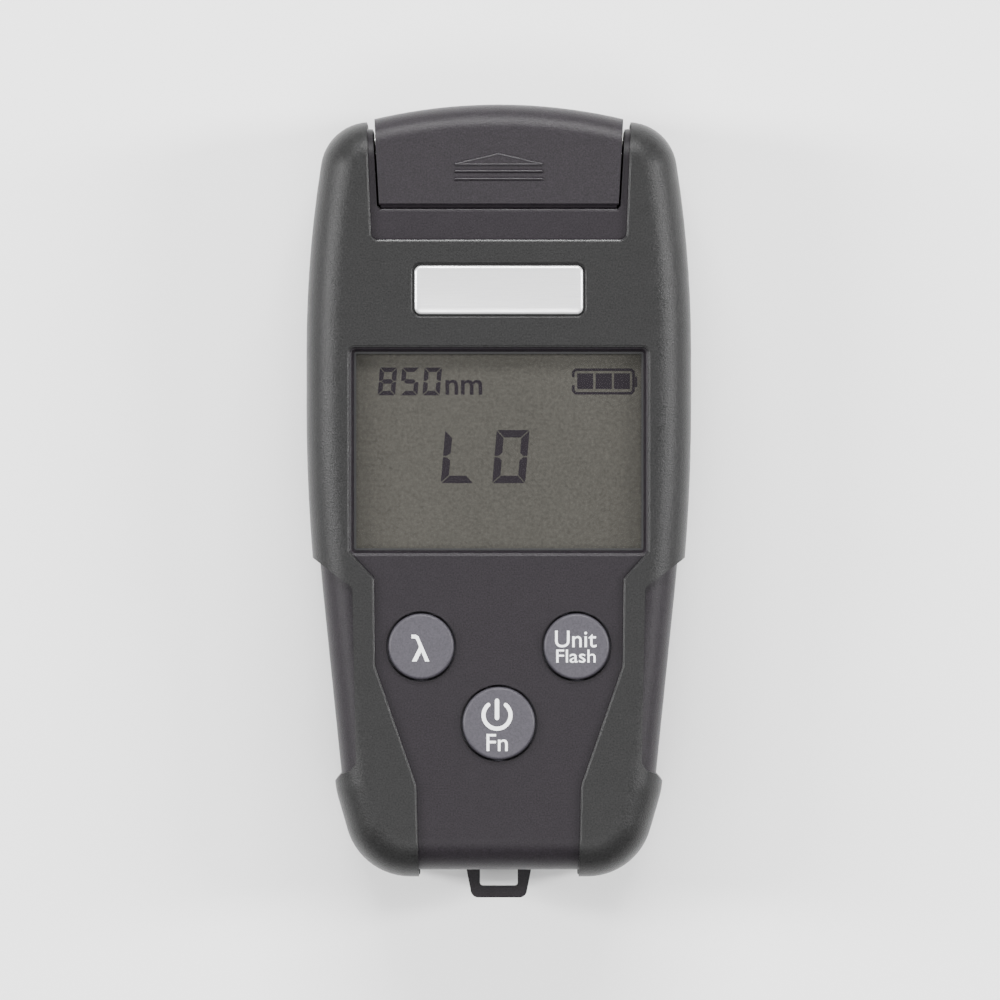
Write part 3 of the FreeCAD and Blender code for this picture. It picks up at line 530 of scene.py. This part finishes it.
# --- keys and their legends: places from the key's centre ----------------------------------------
KEY_FLANGE = 1.0
KEY_CROWN = 0.05
KEY_EDGE = 0.5
KEY_EDGE_STEPS = 6
MARK_THICKNESS = 0.03
LAMBDA = [(-1.61, 1.98), (-0.92, 1.98), (-0.44, 1.7), (-0.16, 1.02), (1.38, -2.52), (0.68, -2.52),
          (0.04, -0.9), (-0.78, -2.52), (-1.54, -2.52), (-0.33, -0.08), (-0.74, 1.0), (-0.92, 1.27),
          (-1.18, 1.36), (-1.61, 1.36)]
UNIT_BOX = (-3.6, 3.36, -0.15, 2.65)
FLASH_BOX = (-3.4, 3.2, -2.72, -0.52)
UNIT_WEIGHT = 0.004
FUNCTION_BOX = (-2.05, 1.49, -4.66, -1.8)
FUNCTION_WEIGHT = 0.006
POWER_X, POWER_Y = -0.3, 1.36
POWER_RING = 2.27
POWER_RING_ENDS = (130, 410)
POWER_RING_WIDTH = 0.67
POWER_BAR = (0.9, 3.78)
POWER_BAR_WIDTH = 0.72


def add_key(node, body):
    """Round key with a soft edge, over the flange that holds it in. Gives its face: x, y and height."""
    low, high = node_span(node)
    x, y = (low.x + high.x) / 2, (low.y + high.y) / 2
    outer = (high.x - low.x) / 2
    radius = outer - KEY_FLANGE
    top = high.z - KEY_CROWN
    profile = [(0, low.z), (outer, low.z), (outer, low.z + KEY_FLANGE), (radius, low.z + KEY_FLANGE)]
    bend = [math.radians(90.0 * i / KEY_EDGE_STEPS) for i in range(KEY_EDGE_STEPS + 1)]
    profile += [(radius - KEY_EDGE * (1 - math.cos(a)), top - KEY_EDGE * (1 - math.sin(a))) for a in bend]
    profile.append((0, top))
    bm = bmesh.new()
    lathe(bm, profile, (x, y))
    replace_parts(add_solid(body.replace("_button", "_keytop"), bm, "key", body), node)
    return x, y, top


def add_legend(name, word, box, weight, face, body):
    """Word printed on a key's face. The box counts from the face's centre."""
    x, y, top = face
    left, right, foot, head = box
    add_word(name, word, (x + left, x + right, y + foot, y + head), top, MARK_THICKNESS, weight, "ink", body)


def add_wavelength_key():
    x, y, top = add_key("wavelength_key", "wavelength_button")

    def draw_lambda(bm):
        polygon(bm, [(x + dx, y + dy) for dx, dy in LAMBDA])

    add_flat("wavelength_mark", draw_lambda, top, MARK_THICKNESS, "ink", "wavelength_button")


def add_unit_key():
    face = add_key("unit_key", "unit_button")
    add_legend("unit_word", "Unit", UNIT_BOX, UNIT_WEIGHT, face, "unit_button")
    add_legend("flash_word", "Flash", FLASH_BOX, UNIT_WEIGHT, face, "unit_button")


def add_power_key():
    face = add_key("power_key", "power_button")
    x, y, top = face

    def draw_power(bm):
        ring = arc_points(x + POWER_X, y + POWER_Y, POWER_RING, *POWER_RING_ENDS)
        ribbon(bm, ring, POWER_RING_WIDTH)
        ribbon(bm, [(x + POWER_X, y + end) for end in POWER_BAR], POWER_BAR_WIDTH)

    add_flat("power_mark", draw_power, top, MARK_THICKNESS, "ink", "power_button")
    add_legend("function_word", "Fn", FUNCTION_BOX, FUNCTION_WEIGHT, face, "power_button")


# --- what the display shows: heights from the middle of its cell ---------------------------------
SEGMENT = 0.04
# digit: width, height, stroke, gap, slant
READING_DIGIT = (5.5, 8.93, 1.24, 0.26, 0.085)
READING_FOOT = -5.38
READING = ((-9.76, "def"), (-1.09, "abcdef"))
WAVELENGTH_DIGIT = (2.9, 4.66, 0.74, 0.22, 0.08)
WAVELENGTH_FOOT = 9.4
WAVELENGTH = ((-20.37, "abcdefg"), (-16.61, "acdfg"), (-12.85, "abcdef"))
NM_BOX = (-8.96, -2.79, 9.5, 12.0)
NM_WEIGHT = 0.012
BATTERY_BOX = (12.54, 22.66, 9.74, 13.7)
BATTERY_CORNER = 0.4
BATTERY_STROKE = 0.42
BATTERY_MOUTH = (1.35, 1.25)
BATTERY_KNOB = (22.91, 23.26, 10.78, 12.55)
CHARGE_BARS = ((13.2, 15.87), (16.3, 19.0), (19.4, 22.05))
CHARGE_HEIGHT = (10.46, 13.08)
WINDOW_LAP = 1.35
BORDER = 0.35
BORDER_GAP = 0.02
BORDER_THICKNESS = 0.02
BORDER_LIFT = 0.002


def draw_digit(bm, left, foot, digit, lit):
    """Mitred seven-bar digit. lit names the bars that are on, clockwise from a at the top, with g across."""
    w, h, t, gap, slant = digit
    g, middle = gap / 2, h / 2
    bars = {
        "a": [(g, h), (w - g, h), (w - t - g, h - t), (t + g, h - t)],
        "b": [(w, h - g), (w, middle + g), (w - t / 2, middle + g), (w - t, middle + t / 2),
              (w - t, h - t - g)],
        "c": [(w, middle - g), (w, g), (w - t, t + g), (w - t, middle - t / 2), (w - t / 2, middle - g)],
        "d": [(g, 0), (t + g, t), (w - t - g, t), (w - g, 0)],
        "e": [(0, g), (0, middle - g), (t / 2, middle - g), (t, middle - t / 2), (t, t + g)],
        "f": [(0, middle + g), (0, h - g), (t, h - t - g), (t, middle + t / 2), (t / 2, middle + g)],
        "g": [(t + g, middle - t / 2), (t / 2 + g, middle), (t + g, middle + t / 2),
              (w - t - g, middle + t / 2), (w - t / 2 - g, middle), (w - t - g, middle - t / 2)],
    }
    for bar in lit:
        polygon(bm, [(left + x + slant * y, foot + y) for x, y in bars[bar]])


def draw_box(bm, x0, x1, y0, y1):
    polygon(bm, [(x0, y0), (x1, y0), (x1, y1), (x0, y1)])


def add_readout():
    """Dark segments on the face of the display: a low reading, the wavelength and the battery."""
    low, high = node_span("lcd_glass")
    face, mid = high.z, (low.y + high.y) / 2

    def draw_reading(bm):
        for left, lit in READING:
            draw_digit(bm, left, mid + READING_FOOT, READING_DIGIT, lit)

    def draw_wavelength(bm):
        for left, lit in WAVELENGTH:
            draw_digit(bm, left, mid + WAVELENGTH_FOOT, WAVELENGTH_DIGIT, lit)

    def draw_battery(bm):
        left, right, foot, top = BATTERY_BOX
        cut = BATTERY_CORNER
        shell = [(left, foot + BATTERY_MOUTH[0]), (left, foot + cut), (left + cut, foot), (right - cut, foot),
                 (right, foot + cut), (right, top - cut), (right - cut, top), (left + cut, top),
                 (left, top - cut), (left, top - BATTERY_MOUTH[1])]
        ribbon(bm, [(x, mid + y) for x, y in shell], BATTERY_STROKE, blunt=True)
        for x0, x1, y0, y1 in [BATTERY_KNOB] + [(*bar, *CHARGE_HEIGHT) for bar in CHARGE_BARS]:
            draw_box(bm, x0, x1, mid + y0, mid + y1)

    for name, draw in (("reading_bars", draw_reading), ("wavelength_bars", draw_wavelength),
                       ("battery_bars", draw_battery)):
        add_flat(name, draw, face, SEGMENT, "segment", "case")
    left, right, foot, top = NM_BOX
    box = (left, right, mid + foot, mid + top)
    add_word("wavelength_unit", "nm", box, face, SEGMENT, NM_WEIGHT, "segment", "case")


def add_window_border():
    """Black border round the edge of the clear window, which darkens the rim of the display."""
    low, high = node_span("display_window")
    inset = WINDOW_LAP + BORDER / 2 + BORDER_GAP
    x0, x1, y0, y1 = low.x + inset, high.x - inset, low.y + inset, high.y - inset

    def draw(bm):
        ribbon(bm, [(x1, y1), (x0, y1), (x0, y0), (x1, y0)], BORDER, closed=True)

    add_flat("window_border", draw, high.z + BORDER_LIFT, BORDER_THICKNESS, "black_border_and_painted_shade", "case")


# --- name plate, left bare -----------------------------------------------------------------------
PLATE_CORNER = 1.07
PLATE_PILLOW = ((0.06, 0.12), (0.14, 0.11), (0.3, 0.06), (0.5, 0.03))


def add_plate():
    """Bare brushed plate, with a soft pillowed edge."""
    low, high = node_span("name_plate")
    bm = bmesh.new()
    polygon(bm, rounded_outline(low.x, high.x, low.y, high.y, PLATE_CORNER))
    wall = high.z - low.z - sum(rise for inset, rise in PLATE_PILLOW)
    top = raise_faces(bm, low.z, wall)
    for inset, rise in PLATE_PILLOW:
        bmesh.ops.inset_region(bm, faces=top, thickness=inset, depth=rise, use_even_offset=True)
    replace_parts(add_solid("bare_plate", bm, "plate", "case", sharp=60.0), "name_plate")


# --- lips of the armour --------------------------------------------------------------------------
LIP = 0.15
LIP_SINK = 0.85
LIP_LEAST_SPAN = 32.0
LEDGE_LIP = 0.17
FOOT_REACH = 0.02
BEVEL_TILT = (0.3, 0.6)
LEVEL_TILT = 0.85
SOURCE_WELD = 0.000002


def find_brims(bm):
    """Edges between the armour's level front and the bevel down into a mouth."""
    brims = []
    for edge in bm.edges:
        tilts = sorted(face.normal.z for face in edge.link_faces)
        if len(tilts) == 2 and BEVEL_TILT[0] < tilts[0] < BEVEL_TILT[1] and tilts[1] > LEVEL_TILT:
            brims.append(edge)
    return brims


def add_armour_lips():
    """Smooth rounded lips along the mouths in the front of the armour, coloured lighter than the armour as a
    painted highlight.
    """
    armour = nodes["front_overmould"]
    source = bmesh.new()
    source.from_mesh(armour.data)
    source.transform(armour.matrix_world)
    bmesh.ops.remove_doubles(source, verts=source.verts[:], dist=SOURCE_WELD)
    source.normal_update()
    bm = bmesh.new()
    for points, closed in chain_up(find_brims(source)):
        run = [point / MM - Vector((0, 0, LIP * LIP_SINK)) for point in points]
        if not closed or max(point.x for point in run) - min(point.x for point in run) > LIP_LEAST_SPAN:
            bead(bm, run, LIP, closed)
        foot = min(point.y for point in run)
        if not closed and foot > 0:
            add_ledge_lip([point for point in run if point.y < foot + FOOT_REACH])
    source.free()
    add_solid("armour_lips", bm, "lip", "case", sharp=60.0)


def add_ledge_lip(points):
    """Polished lip along the straight foot of the mouth under the cover, coloured much lighter than the
    armour as a painted highlight.
    """
    bm = bmesh.new()
    bead(bm, [min(points, key=lambda point: point.x), max(points, key=lambda point: point.x)], LEDGE_LIP)
    add_solid("ledge_lip", bm, "polished_lip_painted_highlight", "case", sharp=60.0)


# --- cover and the ledge under it ----------------------------------------------------------------
MARK_HALF = 7.3
MARK_TIP = 8.5
MARK_LINES = (10.2, 11.35, 12.65)
MARK_SINK = 0.14
ARROW_EDGE = 0.22
RIDGE_EDGE = 0.18
FOOT_INSET = 1.1
# outline of the lip under the cover's foot: (distance from its face, height from the shell's top)
FOOT_LIP = ((0.3, -0.1), (0.0, -0.1), (-0.43, -0.4), (-0.43, -1.1), (0.3, -1.1))
BRIM = 0.22
BRIM_BACK = 0.78
BRIM_SINK = 0.28


def add_cover_marks():
    """Rounded edges of the arrow and the finger ridges moulded on the cover."""
    high = node_span("dust_cover")[1]
    level = high.z - MARK_SINK
    lines = [high.y - drop for drop in MARK_LINES]
    bm = bmesh.new()
    for side in (-1, 1):
        half_round(bm, (side * MARK_HALF, lines[0], level), (0, high.y - MARK_TIP, level), ARROW_EDGE)
    for y in lines:
        half_round(bm, (-MARK_HALF, y, level), (MARK_HALF, y, level), RIDGE_EDGE)
    add_solid("cover_mark_edges", bm, "shell_lip", "cover", sharp=80.0)


def add_cover_foot():
    """Lip under the cover's foot that closes the gap over the ledge, and the rounded brim of that ledge."""
    low, high = node_span("dust_cover")
    shell_top = node_span("front_shell")[1].z
    reach = high.x - FOOT_INSET
    bm = bmesh.new()
    section = [(-reach, low.y + y, shell_top + z) for y, z in FOOT_LIP]
    push_out(bm, [face_through(bm, section)], (2 * reach, 0, 0))
    add_solid("cover_foot_lip", bm, "cover", "cover")
    bm = bmesh.new()
    brim = (low.y - BRIM_BACK, shell_top - BRIM_SINK)
    half_round(bm, (-reach, *brim), (reach, *brim), BRIM)
    add_solid("ledge_brim", bm, "shell_lip", "case", sharp=80.0)


# --- port behind the cover -----------------------------------------------------------------------
THREAD_ROOT = 3.9
THREAD_CREST = 4.08
THREAD_HALF = 0.28
THREAD_PITCH = 0.75
THREAD_TURNS = 7
THREAD_START = 0.5
KEYWAY_TURN = -110
THREAD_SWEEP = -320
THREAD_STEPS = 40
STEPS_A_PITCH = 44
# outline of the sleeve: (radius, distance from the end of the adapter)
SLEEVE = ((1.28, -1.75), (1.28, -0.73), (1.9, -0.73), (1.99, -0.83), (1.99, -1.75))
SLEEVE_STEPS = 48
SCREW_RADIUS = 1.8
SHADE_CROSS_HALF = 0.11
SHADE_CROSS_REACH = 0.58


def add_thread():
    """Screw thread round the adapter's barrel, broken at its keyway."""
    low, high = node_span("fibre_adapter")
    port_z = (low.z + high.z) / 2
    start = Matrix.Rotation(math.radians(KEYWAY_TURN), 3, "Y")
    bm = bmesh.new()
    for turn in range(THREAD_TURNS):
        y = high.y - THREAD_START - THREAD_PITCH * (turn + 1)
        ridge = [(THREAD_ROOT, y - THREAD_HALF), (THREAD_CREST, y), (THREAD_ROOT, y + THREAD_HALF)]
        corners = [start @ Vector((r, 0, 0)) + Vector((0, along, port_z)) for r, along in ridge]
        face = face_through(bm, corners)
        bmesh.ops.spin(bm, geom=[face], axis=(0, 1, 0), cent=(0, 0, port_z),
                       dvec=(0, THREAD_PITCH / STEPS_A_PITCH, 0), angle=math.radians(THREAD_SWEEP),
                       steps=THREAD_STEPS)
    add_solid("adapter_thread", bm, "nickel", "case")


def add_sleeve():
    """White ceramic sleeve inside the adapter."""
    low, high = node_span("fibre_adapter")
    port_z = (low.z + high.z) / 2
    bm = bmesh.new()
    corners = [bm.verts.new((r, high.y + along, port_z)) for r, along in SLEEVE]
    edges = [bm.edges.new((a, b)) for a, b in zip(corners, corners[1:] + corners[:1])]
    bmesh.ops.spin(bm, geom=corners + edges, axis=(0, 1, 0), cent=(0, 0, port_z), angle=2 * math.pi,
                   steps=SLEEVE_STEPS, use_merge=True)
    add_solid("ferrule_sleeve", bm, "ceramic", "case")


def add_screw_recess_shade():
    """Black cross on the head of each adapter screw: painted shade in place of a cross recess."""
    low, high = node_span("adapter_screws")
    near, far = SCREW_RADIUS * SHADE_CROSS_HALF, SCREW_RADIUS * SHADE_CROSS_REACH
    cross = []
    quarter = [(near, near), (near, far), (-near, far)]
    for _ in range(4):
        cross += quarter
        quarter = [(-b, a) for a, b in quarter]
    right_screw = (high.x - SCREW_RADIUS, low.z + SCREW_RADIUS)
    left_screw = (low.x + SCREW_RADIUS, high.z - SCREW_RADIUS)
    bm = bmesh.new()
    for x, z in (right_screw, left_screw):
        push_out(bm, [face_through(bm, [(x + a, high.y, z + b) for a, b in cross])], (0, MARK_THICKNESS, 0))
    add_solid("adapter_screw_recess_shade", bm, "black_border_and_painted_shade", "case")


add_camera()
add_floor()
add_lights()
make_finishes()
finish_nodes()
add_wavelength_key()
add_unit_key()
add_power_key()
add_readout()
add_window_border()
add_plate()
add_armour_lips()
add_cover_marks()
add_cover_foot()
add_thread()
add_sleeve()
add_screw_recess_shade()
